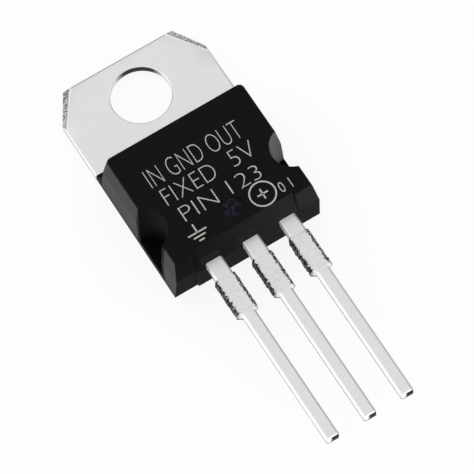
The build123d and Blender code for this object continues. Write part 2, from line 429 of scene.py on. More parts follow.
# %% Punched edges of the tin
scratches = tin.noise(tin.stretch(place, (1.0, 1.0, 0.12)), 30.0, 3.0, 0.7)
chips = tin.noise(tin.stretch(place, (1.0, 1.0, 0.5)), 7.0, 4.0, 0.75)
jagged = across + 0.6 * (chips - 0.5)
torn_right = (across > 0.0) * tin.between(abs(jagged - 0.56), 0.08, 0.04)
torn_left = tin.between(jagged, -0.50, -0.58)
torn = in_dam * (torn_right + torn_left).lower(1.0)
flat_colour = tin.mix(torn, flat_colour, grey(0.02, 0.02))

# Punched faces get a darker grey with scratches, partly painted shade, and those facing the tips a
# painted highlight.
shaded = tin.mix(tin.between(scratches, 0.35, 0.65), grey(0.22, 0.02), grey(0.55, 0.01))
cut_colour = tin.mix(painted_highlight_side, shaded, grey(0.90, 0.005))
above_back = z - lead_low.z / MM * on_lead
cut_colour = tin.mix(tin.between(above_back, 0.20, 0.10), cut_colour, grey(0.16, 0.02))
chipped = tin.mix(tin.between(chips, 0.55, 0.65), grey(0.010), grey(0.50, 0.01))
cut_colour = tin.mix(in_dam, cut_colour, chipped)

# The hole's wall that faces the leads, apart from its lowest 0.05 mm, gets painted shade in the next
# three lines; the rest of the wall is pale.
wall_shade = tin.mix(scratches, grey(0.008, 0.05), grey(0.04, 0.03))
hole_shade_side = tin.between(turned_away, -0.66, -0.88) * tin.between(z, 0.0, 0.05)
cut_colour = tin.mix(in_hole, cut_colour, tin.mix(hole_shade_side, grey(0.80), wall_shade))
tip_end = tip_y / MM
snipped = tin.between(y, tip_end + 0.12, tip_end + 0.06) * tin.between(across, -0.22, -0.06)
print("punched edges of the tin ready")

# %% [markdown]
# The surface's own direction tells a flat face from a punched one, so one mix puts the two
# colours together. The patch noise and the punched mask set the roughness, so punched faces
# are rougher, and the grain, scratch and chip noises set the bump, which keeps a dark chip in
# the tie bar's cut low as well as dark.

# %% Tin plate
plate_colour = tin.mix(punched, flat_colour, cut_colour)
tin.drive("Base Color", tin.mix(snipped, plate_colour, grey(0.015, 0.02)))
tin.drive("Roughness", 0.34 + 0.10 * patches + 0.14 * punched)
relief = grain * (1 - punched) * 0.35 + scratches * punched + chips * in_dam * punched
tin.drive("Normal", tin.bump(relief, 0.012 * MM, 0.6))
print("tin plate ready")

# %% [markdown]
# ## Moulded epoxy
# The mould is spark-eroded, so the epoxy comes out with a very fine matte grain, and the
# filler in it shows as a faint unevenness. Where a pin or an insert of the mould touched it,
# in the side notches and the round ejector mark, the face is smoother. Above each lead the
# flow of the epoxy leaves a paler, rougher patch. Masks come first, as for the tin.

# %% Epoxy masks
NOTCH_OUT = 5.12
NOTCH_IN_FROM_LEAD_SIDE = 3.05
NOTCH_REACH = 1.58
MARK_IN_FROM_LEAD_SIDE = 1.70
MARK_RADIUS = 0.75
notch_y = lead_side_y / MM + NOTCH_IN_FROM_LEAD_SIDE
mark_y = lead_side_y / MM + MARK_IN_FROM_LEAD_SIDE
front_z = top_z / MM
lead_top = lead_high.z / MM

epoxy = Finish("black_epoxy", Specular_IOR_Level=0.05)
place = epoxy.millimetres()
x, y, z = epoxy.split(place)
facing_x, facing_y, facing_z = epoxy.facing()
from_mark = x * x + (y - mark_y) * (y - mark_y)
in_mark = (from_mark < MARK_RADIUS ** 2) * (z > front_z - 0.3)
beyond_notch = abs(x) - NOTCH_OUT
from_notch = beyond_notch * beyond_notch + (y - notch_y) * (y - notch_y)
in_notch = (from_notch < NOTCH_REACH ** 2) * (z < front_z - 0.01) * (facing_z > -0.5)
smooth = in_mark.higher(in_notch)
# The next mask is a patch of painted light on the wall of the right notch that faces the leads.
notch_painted_light = in_notch * (x > 0) * epoxy.between(facing_y, -0.2, -0.7)
near_lead = (abs(from_lead_centre(epoxy, x)) < 0.62) * (abs(x) < 3.3)
above_lead = (near_lead * epoxy.between(z, lead_top + 0.62, lead_top + 0.40)
              * (z > lead_top) * epoxy.between(facing_y, -0.3, -0.7))
lead_face = epoxy.between(facing_y, -0.5, -0.8) * (1 - in_notch)
# The left side beyond the centre block, above about 0.4 mm, is picked out for painted light.
lit_left_face = (epoxy.between(facing_x, -0.6, -0.9) * (1 - in_notch) * (x < -4.2)
             * epoxy.between(z, 0.30, 0.50))
print(f"notches at y {notch_y:.2f} mm, ejector mark at y {mark_y:.2f} mm")

# %% [markdown]
# Black epoxy isn't one black. The lead side above the parting line, greyer towards the right,
# and the left side are painted a little greyer than the front, as painted light. The notches
# are painted darkest, as painted shade, apart from a painted lit grey patch on the wall of the
# right one that faces the leads. The figure in the ejector mark is a meaningless bluish swirl,
# a band cut out of a smooth noise.

# %% Black epoxy
spark = epoxy.noise(place, 18.0, 4.0, 0.65)
filler = epoxy.noise(place, 3.0, 3.0, 0.5)
chalk = epoxy.between(spark, 0.46, 0.66) * above_lead
lit_lead_face = lead_face * (z > parting_z / MM) * epoxy.between(x, -4.0, 5.0)
swirl = (epoxy.between(abs(epoxy.noise(place, 1.6, 1.0, 0.5) - 0.50), 0.07, 0.01)
         * epoxy.between(from_mark, 0.50, 0.20) * in_mark)
base = epoxy.mix(filler, (0.0030, 0.0028, 0.0034, 1), (0.0062, 0.0058, 0.0066, 1))
base = epoxy.mix(chalk, base, grey(0.035, 0.02))
# The upper lead side is painted greyer towards the right, as painted light.
base = epoxy.mix(lit_lead_face, base, grey(0.022, 0.02))
# Painted light on the left side.
base = epoxy.mix(lit_left_face, base, grey(0.045, 0.01))
# Painted shade in the notches.
base = epoxy.mix(in_notch, base, grey(0.002))
base = epoxy.mix(swirl, base, (0.018, 0.015, 0.036, 1))
# Painted light on the right notch's wall.
epoxy.drive("Base Color", epoxy.mix(notch_painted_light, base, grey(0.12, 0.01)))
worn_smooth = 0.10 * in_notch - 0.16 * in_mark
epoxy.drive("Roughness", 0.46 + 0.14 * spark + worn_smooth + 0.22 * lead_face)
relief = spark * (1 - 0.8 * smooth) * (1 + 1.5 * above_lead) + swirl
epoxy.drive("Normal", epoxy.bump(relief, 0.016 * MM, 0.7))
print("epoxy ready")

# %% [markdown]
# ## Laser marks
# A laser burns the black filler away and leaves pale, slightly broken strokes. They are
# a little chalky and quite rough, with hardly any shine.

# %% Mark finish
chalky = Finish("laser_marks", Specular_IOR_Level=0.2, Roughness=0.8)
place = chalky.millimetres()
broken = chalky.between(chalky.noise(place, 9.0, 4.0, 0.7), 0.30, 0.60)
chalky.drive("Base Color", chalky.mix(broken, (0.24, 0.24, 0.22, 1), (0.50, 0.50, 0.46, 1)))
chalky.drive("Normal", chalky.bump(chalky.noise(place, 30.0), 0.006 * MM, 0.5))
print("marks ready")

# %% [markdown]
# ## The chip, its solder and its wires
# These are hidden by the epoxy, but they are real pieces and keep the shape that the CAD
# model gives them. The chip's face is a printed pattern of small rectangles on polished
# silicon, the solder is dull, and drawn aluminium wire has fine scratches.

# %% Inner finishes
silicon = Finish("silicon_die", Metallic=0.3, Specular_IOR_Level=0.5)
place = silicon.millimetres()
pads = silicon.node("ShaderNodeTexBrick", {"offset": 0.5}, {
    "Vector": place, "Color1": (0.10, 0.12, 0.20, 1), "Color2": (0.22, 0.20, 0.30, 1),
    "Mortar": (0.55, 0.50, 0.40, 1), "Scale": 4.0, "Mortar Size": 0.03})
silicon.drive("Base Color", pads)
silicon.drive("Roughness", 0.12 + 0.10 * silicon.noise(place, 6.0))

solder = Finish("soft_solder", Metallic=1.0)
place = solder.millimetres()
dull = solder.noise(place, 8.0, 4.0)
solder.drive("Base Color", solder.mix(dull, grey(0.42), grey(0.60)))
solder.drive("Roughness", 0.40 + 0.20 * dull)
solder.drive("Normal", solder.bump(dull, 0.01 * MM, 0.5))

wire = Finish("bond_aluminium", Metallic=1.0)
place = wire.millimetres()
drawn = wire.noise(wire.stretch(place, (1.0, 0.2, 1.0)), 40.0)
wire.drive("Base Color", wire.mix(drawn, grey(0.70), grey(0.86)))
wire.drive("Roughness", 0.22 + 0.20 * drawn)
wire.drive("Normal", wire.bump(drawn, 0.004 * MM, 0.5))

inner_finishes = {"silicon_die": silicon, "die_attach_solder": solder}
for wire_name in ("input", "output", "sense", "ground"):
    inner_finishes["bond_wire_" + wire_name] = wire
for node_name, finish in inner_finishes.items():
    materials = frame["nodes"][node_name].data.materials
    materials.clear()
    materials.append(finish.material)
print("inner pieces dressed:", len(inner_finishes))

# %% [markdown]
# ## From bmesh to a piece
# Every new piece ends the same way: stray doubles are welded, the faces are turned outwards,
# and edges sharper than about a dozen degrees stay crisp while the rest shade smoothly. A
# closed piece has exactly two faces at every edge, and the function prints how many edges
# break that rule.

# %% Finishing a piece
CREASE = radians(12)
WELD = 0.0005 * MM


def count_open(shape):
    return sum(1 for edge in shape.edges if len(edge.link_faces) != 2)


def shade(mesh):
    """Smooth shading everywhere but across creases."""
    mesh.polygons.foreach_set("use_smooth", [True] * len(mesh.polygons))
    mesh.set_sharp_from_angle(angle=CREASE)


def as_object(shape, name):
    """Turn a bmesh into an object at the origin, and free the bmesh."""
    mesh = bpy.data.meshes.new(name)
    shape.to_mesh(mesh)
    shape.free()
    made = bpy.data.objects.new(name, mesh)
    bpy.context.scene.collection.objects.link(made)
    return made


def as_piece(shape, name, finish, *nodes, slot):
    bmesh.ops.remove_doubles(shape, verts=shape.verts, dist=WELD)
    bmesh.ops.recalc_face_normals(shape, faces=shape.faces)
    volume = shape.calc_volume(signed=True) / MM ** 3
    print(f"{name}: {len(shape.faces)} faces, {count_open(shape)} open edges, {volume:.2f} mm3")
    piece = as_object(shape, name)
    shade(piece.data)
    piece.data.materials.append(finish.material)
    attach(piece, "root")
    if nodes:
        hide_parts(*nodes)
    return piece


print("piece helper ready")

# %% [markdown]
# ## Growing a solid
# Most shapes here grow out of one end face: extrude it, move it, and set its two sides. An
# extrusion leaves the old end face behind inside the solid, so that is removed each time.
# Rounded edges all come from one bevel, whose defaults in a script differ from the editor's.

# %% Growing and rounding
NEAR = 0.01 * MM
SAME = 0.001 * MM


def at_level(item, level):
    return all(abs(vert.co.z - level) < SAME for vert in item.verts)


def corners_of(faces):
    return list({vert for face in faces for vert in face.verts})


def clear_inner(shape, faces):
    """Remove faces that an extrusion has left across the inside of a solid."""
    inner = [face for face in faces
             if face.is_valid and any(len(edge.link_faces) > 2 for edge in face.edges)]
    edges = {edge for face in inner for edge in face.edges}
    bmesh.ops.delete(shape, geom=inner, context="FACES_ONLY")
    bmesh.ops.delete(shape, geom=[edge for edge in edges if edge.is_wire], context="EDGES")


def pull(shape, ends, shift=(0, 0, 0), sides=None):
    """Extrude end faces, move them, and bring their two sides to the given x places."""
    made = bmesh.ops.extrude_face_region(shape, geom=ends)["geom"]
    clear_inner(shape, ends)
    ends = [item for item in made if isinstance(item, bmesh.types.BMFace)]
    corners = corners_of(ends)
    bmesh.ops.translate(shape, verts=corners, vec=shift)
    if sides:
        middle = sum(vert.co.x for vert in corners) / len(corners)
        for vert in corners:
            vert.co.x = sides[0] if vert.co.x < middle else sides[1]
    return ends


def round_off(shape, edges, width, segments=3):
    bmesh.ops.bevel(shape, geom=edges, offset=width, offset_type="OFFSET", segments=segments,
                    profile=0.5, affect="EDGES", material=-1, clamp_overlap=True)
    return len(edges)


print("growing helpers ready")

# %% [markdown]
# ## The leads
# A lead is punched flat: a broad root, then a wider stretch where the strip's tie bar was
# cut away, then the narrow end that goes into the board. It could be cut from a plate with
# Booleans, but a chain of extrusions, one for each change of width, leaves a clean loop of
# edges at each step. The cut of the tie bar is rough, so that stretch is drawn in many short
# steps whose edges wander a little, and whose lower corners flare where the metal broke.

# %% Lead shape
ROOT_HALF = 0.575 * MM
DAM_HALF = 0.67 * MM
END_HALF = 0.43 * MM
DAM_STEPS = 32
DAM_WANDER = 0.05 * MM
WANDER_SIZE = 0.16 * MM
DAM_FLARE = 0.07 * MM
FLARE_OFFSET = 5 * MM
NECK_TAPER = 0.05 * MM
SHOULDER_TAPER = 0.20 * MM
TIP_TAPER = 0.14 * MM
TIP_NARROWING = 0.6 * TIP_TAPER
TIP_THINNING = 0.10 * MM
FACE_OFFSET = 0.2 * MM


def wander(x, y):
    """A small repeatable sideways error at one point of a cut edge."""
    return DAM_WANDER * noise.noise(Vector((x, y, 0)) / WANDER_SIZE)


def is_under(vert):
    return vert.co.z < parting_z - FACE_OFFSET


def draw_lead(shape, ends, x):
    """Grow one lead from end faces that lie at the moulding's lead side."""
    step = Vector((0, -DAM_LENGTH / DAM_STEPS, 0))
    y = lead_side_y - ROOT_LENGTH
    ends = pull(shape, ends, (0, -ROOT_LENGTH, 0))
    ends = pull(shape, ends, (0, -NECK_TAPER, 0), (x - DAM_HALF, x + DAM_HALF))
    for count in range(DAM_STEPS):
        y += step.y
        left = x - DAM_HALF + wander(x - DAM_HALF, y)
        right = x + DAM_HALF + wander(x + DAM_HALF, y)
        ends = pull(shape, ends, step, (left, right))
        for vert in filter(is_under, corners_of(ends)):
            flare = DAM_FLARE + wander(vert.co.x, y + FLARE_OFFSET)
            vert.co.x += flare if vert.co.x > x else -flare
    ends = pull(shape, ends, (0, -SHOULDER_TAPER, 0), (x - END_HALF, x + END_HALF))
    here = sum(vert.co.y for vert in ends[0].verts) / len(ends[0].verts)
    tip_half = END_HALF - TIP_NARROWING
    ends = pull(shape, ends, (0, tip_y + TIP_TAPER - here, 0))
    ends = pull(shape, ends, (0, -TIP_TAPER, 0), (x - tip_half, x + tip_half))
    for vert in corners_of(ends):
        if is_under(vert):
            vert.co.z += TIP_THINNING
        elif vert.co.z > parting_z + FACE_OFFSET:
            vert.co.z -= TIP_THINNING


print("lead helper ready")

# %% [markdown]
# The punch rolls the upper edges over and leaves the lower ones nearly sharp, which two
# bevels give. Each outer lead starts inside the moulding as a flat flag, to which its wires
# are bonded, and narrows to its root just behind the flag.

# %% Outer leads
TOP_ROLL = 0.14 * MM
UNDER_ROLL = 0.03 * MM
FLAG_LENGTH = 1.50 * MM
LONG_EDGE_TURN = radians(60)


def roll_edges(shape):
    """Round the long edges of the leads, outside the moulding."""
    count = 0
    for level, width in ((lead_high.z, TOP_ROLL), (lead_low.z, UNDER_ROLL)):
        edges = [edge for edge in shape.edges
                 if at_level(edge, level) and len(edge.link_faces) == 2
                 and all(vert.co.y < lead_side_y + NEAR for vert in edge.verts)
                 and edge.calc_face_angle() > LONG_EDGE_TURN]
        count += round_off(shape, edges, width)
    return count


def outer_lead(name, node, side):
    """A bonding flag inside the moulding, and the lead that grows out of it."""
    low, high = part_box(node)
    size = Vector((high.x - low.x, FLAG_LENGTH, gauge))
    centre = Vector(((low.x + high.x) / 2, high.y - FLAG_LENGTH / 2, parting_z))
    shape = bmesh.new()
    bmesh.ops.create_cube(shape, size=1, matrix=Matrix.LocRotScale(centre, None, size))
    ends = [face for face in shape.faces if face.normal.y < -0.5]
    x = side * pitch + LEAD_SHIFT
    ends = pull(shape, ends, (0, -NECK_TAPER, 0), (x - ROOT_HALF, x + ROOT_HALF))
    ends = pull(shape, ends, (0, lead_side_y - (high.y - FLAG_LENGTH - NECK_TAPER), 0))
    draw_lead(shape, ends, x)
    print(name, "rolled edges:", roll_edges(shape))
    return as_piece(shape, name, tin, node, slot="tinned_copper")


input_lead = outer_lead("input_lead_tinned", "input_lead", -1)
output_lead = outer_lead("output_lead_tinned", "output_lead", 1)

# %% [markdown]
# ## The tab and the ground lead
# The tab, the pad under the chip, the strip that climbs through the epoxy and the middle
# lead are one stamping. The flat part starts as a single outline face and is extruded up in
# two steps, so that a line is left where the shear ends and the break begins on its edges.

# %% Outline of the tab and pad
SHEAR_BREAK = 0.40 * MM
PAD_HALF = 4.00 * MM
PAD_RELIEF = 0.60 * MM
RELIEF_LENGTH = 1.90 * MM
PAD_TO_LEAD_SIDE = 3.25 * MM
NECK_HALF = 0.65 * MM
pad_end_y = lead_side_y + PAD_TO_LEAD_SIDE
relief_y = pad_end_y + RELIEF_LENGTH
half_outline = [
    (tab_high.x - CORNER_ACROSS, tab_high.y),
    (tab_high.x, tab_high.y - CORNER_ALONG),
    (tab_high.x, shoulder_y),
    (PAD_HALF, shoulder_y),
    (PAD_HALF, relief_y),
    (PAD_HALF - PAD_RELIEF, relief_y),
    (PAD_HALF - PAD_RELIEF, pad_end_y),
    (NECK_HALF, pad_end_y),
]
outline = half_outline + [(-x, y) for x, y in reversed(half_outline)]
stamping = bmesh.new()
blank = stamping.faces.new([stamping.verts.new((x, y, 0)) for x, y in outline])
front = pull(stamping, [blank], (0, 0, SHEAR_BREAK))
front = pull(stamping, front, (0, 0, gauge - SHEAR_BREAK))
bmesh.ops.recalc_face_normals(stamping, faces=stamping.faces)
print("outline of", len(outline), "corners")

# %% [markdown]
# The tab's two corners are sheared off in a second stroke, which leaves a broad sloping face
# there. Moving the front's corner points back along the top edge and down the sides makes it,
# because the points under them, at the line of the break, stay where they are. The rims of
# the tab outside the epoxy are then rolled over.

# %% Sheared corners and rolled edges
SHEAR_LEAN = 0.48 * MM
SIDE_LEAN = 0.50 * MM
TAB_ROLL = 0.09 * MM


def rims_tab(edge):
    """True for an edge of the front's outline that lies outside the moulding."""
    reach = [vert.co.y for vert in edge.verts]
    return (at_level(edge, gauge) and min(reach) > shoulder_y - NEAR
            and max(reach) > shoulder_y + NEAR)


for vert in front[0].verts:
    if abs(vert.co.y - tab_high.y) < SAME:
        vert.co.x -= SHEAR_LEAN if vert.co.x > 0 else -SHEAR_LEAN
    elif vert.co.y > 0:
        vert.co.y -= SIDE_LEAN
rims = [edge for edge in stamping.edges if rims_tab(edge)]
print("rolled tab edges:", round_off(stamping, rims, TAB_ROLL))

# %% [markdown]
# The hole could be cut with a Boolean, but its rim is rolled over too. So its wall is a short
# profile spun about the hole's axis, with a quarter circle for the rim. The two flat faces
# are taken away first, and filled again between the outline and the wall.

# %% The mounting hole
RIM_ROLL = 0.06 * MM
HOLE_STEPS = 96
flats = [face for face in stamping.faces if at_level(face, gauge) or at_level(face, 0)]
bmesh.ops.delete(stamping, geom=flats, context="FACES_ONLY")
profile = [stamping.verts.new((hole_radius + RIM_ROLL * (1 - sin(turn)), 0,
                               gauge - RIM_ROLL * (1 - cos(turn))))
           for turn in (0, pi / 6, pi / 3, pi / 2)]
profile += [stamping.verts.new((hole_radius, 0, level)) for level in (SHEAR_BREAK, 0)]
threads = [stamping.edges.new(pair) for pair in zip(profile, profile[1:])]
bmesh.ops.spin(stamping, geom=profile + threads, cent=(0, 0, 0), axis=(0, 0, 1), dvec=(0, 0, 0),
               angle=2 * pi, steps=HOLE_STEPS, use_merge=True, use_duplicate=False)
bmesh.ops.remove_doubles(stamping, verts=stamping.verts, dist=WELD)
for level in (gauge, 0):
    border = [edge for edge in stamping.edges if edge.is_boundary and at_level(edge, level)]
    bmesh.ops.triangle_fill(stamping, edges=border, use_beauty=True, use_dissolve=False)
print("hole of", HOLE_STEPS, "sides")

# %% [markdown]
# Two more spins bend the strip up and level again. The climb is worked out as a bender would
# set it: the angle comes from the run and the rise, and each bend takes a piece of the
# straight runs equal to its radius times the tangent of half the angle.

# %% The climbing strip and the ground lead
BEND_RADIUS = 0.60 * MM
CLIMB_RUN = 1.30 * MM
BEND_STEPS = 8
HEAD_LENGTH = 0.3 * MM
rise = parting_z - gauge / 2
climb = atan2(rise, CLIMB_RUN)
take_up = BEND_RADIUS * tan(climb / 2)
slope_length = hypot(rise, CLIMB_RUN) - 2 * take_up
foot_y = pad_end_y - BEND_RADIUS
head_y = foot_y - CLIMB_RUN - take_up


def bend(shape, ends, centre, turn):
    """Swing end faces about a line parallel to X."""
    made = bmesh.ops.spin(shape, geom=ends, cent=centre, axis=(1, 0, 0), dvec=(0, 0, 0),
                          angle=turn, steps=BEND_STEPS, use_merge=False, use_duplicate=False)
    clear_inner(shape, ends)
    return [item for item in made["geom_last"] if isinstance(item, bmesh.types.BMFace)]


ends = [face for face in stamping.faces
        if face.normal.y < -0.5 and abs(face.calc_center_median().x) < NECK_HALF
        and abs(face.calc_center_median().y - pad_end_y) < NEAR]
ends = pull(stamping, ends, (0, foot_y + take_up - pad_end_y, 0))
ends = bend(stamping, ends, (0, foot_y + take_up, gauge / 2 + BEND_RADIUS), -climb)
ends = pull(stamping, ends, (0, -slope_length * cos(climb), slope_length * sin(climb)))
ends = bend(stamping, ends, (0, head_y, parting_z - BEND_RADIUS), climb)
ends = pull(stamping, ends, (0, -HEAD_LENGTH, 0))
ends = pull(stamping, ends, (0, -NECK_TAPER, 0), (LEAD_SHIFT - ROOT_HALF, LEAD_SHIFT + ROOT_HALF))
ends = pull(stamping, ends, (0, lead_side_y - (head_y - HEAD_LENGTH - NECK_TAPER), 0))
draw_lead(stamping, ends, LEAD_SHIFT)
roll_edges(stamping)
lead_frame = as_piece(stamping, "tab_and_ground_lead_tinned", tin, "tab_and_ground_lead",
                      slot="tinned_copper")

# %% [markdown]
# ## The moulding
# A mould opens at its parting line, here level with the leads, so every wall leans away from
# it, and the wall over the tab leans most. The block starts as a cube cut into layers, and
# each corner is moved to its drafted place.

# %% Draft
SKIRT_FORWARD = 0.40 * MM
LOWER_DRAFT = 0.11 * MM
UPPER_DRAFT = 0.23 * MM
TAB_SIDE_LEAN = 0.77 * MM
BASE_SETBACK = 0.33 * MM
TOP_SETBACK = 0.37 * MM


def part_way(value, stops):
    """Straight-line value between (position, value) stops."""
    for (start, first), (end, last) in zip(stops, stops[1:]):
        if value <= end:
            return first + (last - first) * (value - start) / (end - start)
    return stops[-1][1]


def slice_at(shape, place, direction):
    """Cut every face along one plane and keep both sides."""
    bmesh.ops.bisect_plane(shape, geom=shape.verts[:] + shape.edges[:] + shape.faces[:],
                           plane_co=place, plane_no=direction, dist=1e-7)


def drafted(corner):
    """Where a corner of the plain block goes once its walls lean."""
    x, y, z = corner
    if abs(x) > PAD_HALF + NEAR:
        lean = part_way(z, [(0, 0), (parting_z, LOWER_DRAFT), (top_z, LOWER_DRAFT + UPPER_DRAFT)])
        x = body_high.x - lean if x > 0 else lean - body_high.x
    if y < notch_y * MM:
        y = lead_side_y + part_way(z, [(0, BASE_SETBACK), (parting_z, 0), (top_z, TOP_SETBACK)])
    else:
        lean = part_way(z, [(0, 0), (gauge, 0), (top_z, TAB_SIDE_LEAN)])
        y = shoulder_y - SKIRT_FORWARD - lean
    return Vector((x, y, z))


print(f"walls lean by up to {TAB_SIDE_LEAN / MM:.2f} mm")

# %% [markdown]
# Beside the pad, below the level of the tab's front, the epoxy reaches further forward. That
# skirt is pulled out of the lowest layer of the wall over the tab.

# %% Drafted block
SKIRT_OVERLAP = 0.02 * MM
block = bmesh.new()
bmesh.ops.create_cube(block, size=1, matrix=Matrix.LocRotScale(
    (body_low + body_high) / 2, None, body_high - body_low))
for level in (gauge, parting_z):
    slice_at(block, (0, 0, level), (0, 0, 1))
for side in (-1, 1):
    slice_at(block, (side * (PAD_HALF - SKIRT_OVERLAP), 0, 0), (1, 0, 0))
for vert in block.verts:
    vert.co = drafted(vert.co)
skirt = [face for face in block.faces
         if face.normal.y > 0.5 and face.calc_center_median().z < gauge
         and abs(face.calc_center_median().x) > PAD_HALF - SKIRT_OVERLAP]
pull(block, skirt, (0, SKIRT_FORWARD, 0))
block.normal_update()
print("block with", len(block.faces), "faces")

# %% [markdown]
# Epoxy doesn't fill a sharp corner of the mould. The two upright corners over the tab are
# rounded most, and then a narrower bevel goes round the whole front.

# %% Rounded corners
CORNER_ROUND = 0.32 * MM
TOP_ROUND = 0.10 * MM
SHORTEST_UPRIGHT = 0.3 * MM


def stands_over_tab(edge):
    heights = [vert.co.z for vert in edge.verts]
    return (abs(heights[0] - heights[1]) > SHORTEST_UPRIGHT and min(heights) > gauge - NEAR
            and edge.verts[0].co.y > notch_y * MM and edge.calc_face_angle() > radians(45))


upright = [edge for edge in block.edges if stands_over_tab(edge)]
print("rounded upright edges:", round_off(block, upright, CORNER_ROUND, segments=4))
around = [edge for edge in block.edges
          if at_level(edge, top_z) and edge.calc_face_angle() > radians(20)]
print("rounded edges of the front:", round_off(block, around, TOP_ROUND))

# %% [markdown]
# On the lead side the middle of the block stands forward of its two corners, which makes
# room for the strip that joins the leads in the mould. Cutting the block at the ends of
# that stretch and sliding its corners gives the step.

# %% Centre block
BLOCK_MARGIN = 0.36 * MM
BLOCK_STEP = 0.05 * MM
BLOCK_FORWARD = 0.13 * MM
BLOCK_TOP_BACK = 0.20 * MM
block_edge = pitch + ROOT_HALF + BLOCK_MARGIN
for x in (-block_edge - BLOCK_STEP, -block_edge, block_edge, block_edge + BLOCK_STEP):
    slice_at(block, (x, 0, 0), (1, 0, 0))
for vert in block.verts:
    if abs(vert.co.x) < block_edge + SAME and vert.co.y < notch_y * MM:
        vert.co.y += part_way(vert.co.z, [(0, -BLOCK_FORWARD), (lead_high.z, -BLOCK_FORWARD),
                                          (top_z, BLOCK_TOP_BACK)])
body = as_piece(block, "moulded_body_epoxy", epoxy, "moulded_body", slot="black_epoxy")

# %% [markdown]
# Two inserts leave half-round notches in the sides, and the pin that pushes the part out
# of the mould leaves a shallow round mark. Each is made as the solid that filled the place.
# The notch's wall flares near the front, where the insert had its collar, and the collar
# sits a little towards the tab.

# %% Inserts and ejector pin
NOTCH_FLOOR_COVER = 0.05 * MM
MARK_DEPTH = 0.07 * MM
MARK_FLOOR_RADIUS = 0.73 * MM
COLLAR_SHIFT = 0.13 * MM
CLEAR_ABOVE = 0.5 * MM
INSERT_SIDES = 72
notch_rings = [(gauge + NOTCH_FLOOR_COVER, 1.30 * MM, 0),
               (parting_z + 0.45 * MM, 1.32 * MM, 0),
               (top_z, 1.40 * MM, COLLAR_SHIFT),
               (top_z + CLEAR_ABOVE, 1.44 * MM, 0)]
pin_rings = [(top_z - MARK_DEPTH, MARK_FLOOR_RADIUS, 0),
             (top_z, MARK_RADIUS * MM, 0),
             (top_z + CLEAR_ABOVE, MARK_RADIUS * MM, 0)]


def turned(shape, centre, rings):
    """A closed round solid through rings of height, radius and slide along y."""
    first_z, first_radius, _ = rings[0]
    made = bmesh.ops.create_circle(shape, cap_ends=True, segments=INSERT_SIDES,
                                   radius=first_radius,
                                   matrix=Matrix.Translation((centre[0], centre[1], first_z)))
    ends = list({face for vert in made["verts"] for face in vert.link_faces})
    for (low, narrow, _), (high, wide, slide) in zip(rings, rings[1:]):
        ends = pull(shape, ends, (0, 0, high - low))
        bmesh.ops.scale(shape, verts=ends[0].verts, vec=(wide / narrow, wide / narrow, 1),
                        space=Matrix.Translation((-centre[0], -centre[1], 0)))
        bmesh.ops.translate(shape, verts=ends[0].verts, vec=(0, slide, 0))


tools = bmesh.new()
for side in (-1, 1):
    turned(tools, (side * NOTCH_OUT * MM, notch_y * MM), notch_rings)
turned(tools, (0, mark_y * MM), pin_rings)
bmesh.ops.recalc_face_normals(tools, faces=tools.faces)
print("inserts and pin:", len(tools.faces), "faces")

# %% [markdown]
# A Boolean modifier takes a solid away. Reading the piece back through the dependency graph
# applies the modifier, so that none is left live on the finished piece.

# %% Carve the notches and the mark
def carve(piece, tool):
    """Take one solid away from a piece's mesh with an exact Boolean."""
    modifier = piece.modifiers.new("carve", "BOOLEAN")
    modifier.operation, modifier.solver, modifier.object = "DIFFERENCE", "EXACT", tool
    evaluated = piece.evaluated_get(bpy.context.evaluated_depsgraph_get())
    carved = bpy.data.meshes.new_from_object(evaluated)
    piece.modifiers.clear()
    old, piece.data = piece.data, carved
    bpy.data.meshes.remove(old)


def carve_away(piece, tool):
    """Carve with a solid that is only a tool, and then remove it."""
    carve(piece, tool)
    bpy.data.objects.remove(tool)


carve_away(body, as_object(tools, "inserts"))
print("notches and ejector mark carved:", len(body.data.polygons), "faces")

# %% [markdown]
# The epoxy flows round everything that is in the mould, so its inside is the exact print of
# the metal, the chip and the wires. Taking each of those solids away in turn gives that. A
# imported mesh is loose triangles, so a copy of it is welded before it is used. Two solids
# that only touch along a face give a Boolean nothing to decide by, so each print reaches
# a little way into the hollow that is already under it.

# %% Cast round the metal
PRINT_WELD = 0.0001 * MM
PRINT_REACH = 0.03 * MM
BASE_REACH = 0.50 * MM
SHOULDER_REACH = 0.2 * MM
SMALLEST_SEAT = 0.001 * MM ** 2


def print_of(source, reach_down, reach_forward=0.0):
    """A welded copy of a solid whose lowest faces reach further down."""
    shape = bmesh.new()
    shape.from_mesh(source.data)
    bmesh.ops.remove_doubles(shape, verts=shape.verts, dist=PRINT_WELD)
    shape.normal_update()
    seats = {vert for face in shape.faces
             if face.normal.z < -0.99 and face.calc_area() > SMALLEST_SEAT
             for vert in face.verts if vert.co.z < lead_high.z + NEAR}
    for vert in seats:
        vert.co.z -= reach_down
    for vert in shape.verts:
        if abs(vert.co.y - shoulder_y) < SAME:
            vert.co.y += reach_forward
    bmesh.ops.recalc_face_normals(shape, faces=shape.faces)
    return as_object(shape, source.name + "_print")


lowered = print_of(lead_frame, 0.0, SHOULDER_REACH)
for vert in lowered.data.vertices:
    if vert.co.z < SAME:
        vert.co.z -= BASE_REACH
carve_away(body, lowered)
for lead in (input_lead, output_lead):
    carve(body, lead)
for node_name in inner_finishes:
    carve_away(body, print_of(frame["nodes"][node_name], PRINT_REACH))
print("epoxy with its prints:", len(body.data.polygons), "faces")

# %% [markdown]
# A Boolean leaves points that nearly coincide and faces with no area. Welding the first and
# dissolving the second settles the mesh, and then it is shaded as the other pieces are.

# %% Settle the moulding
SETTLE = 0.0002 * MM
settled = bmesh.new()
settled.from_mesh(body.data)
bmesh.ops.remove_doubles(settled, verts=settled.verts, dist=SETTLE)
bmesh.ops.dissolve_degenerate(settled, edges=settled.edges, dist=SETTLE)
volume = settled.calc_volume() / MM ** 3
print(f"epoxy volume {volume:.2f} mm3, open edges {count_open(settled)}")
settled.to_mesh(body.data)
settled.free()
shade(body.data)

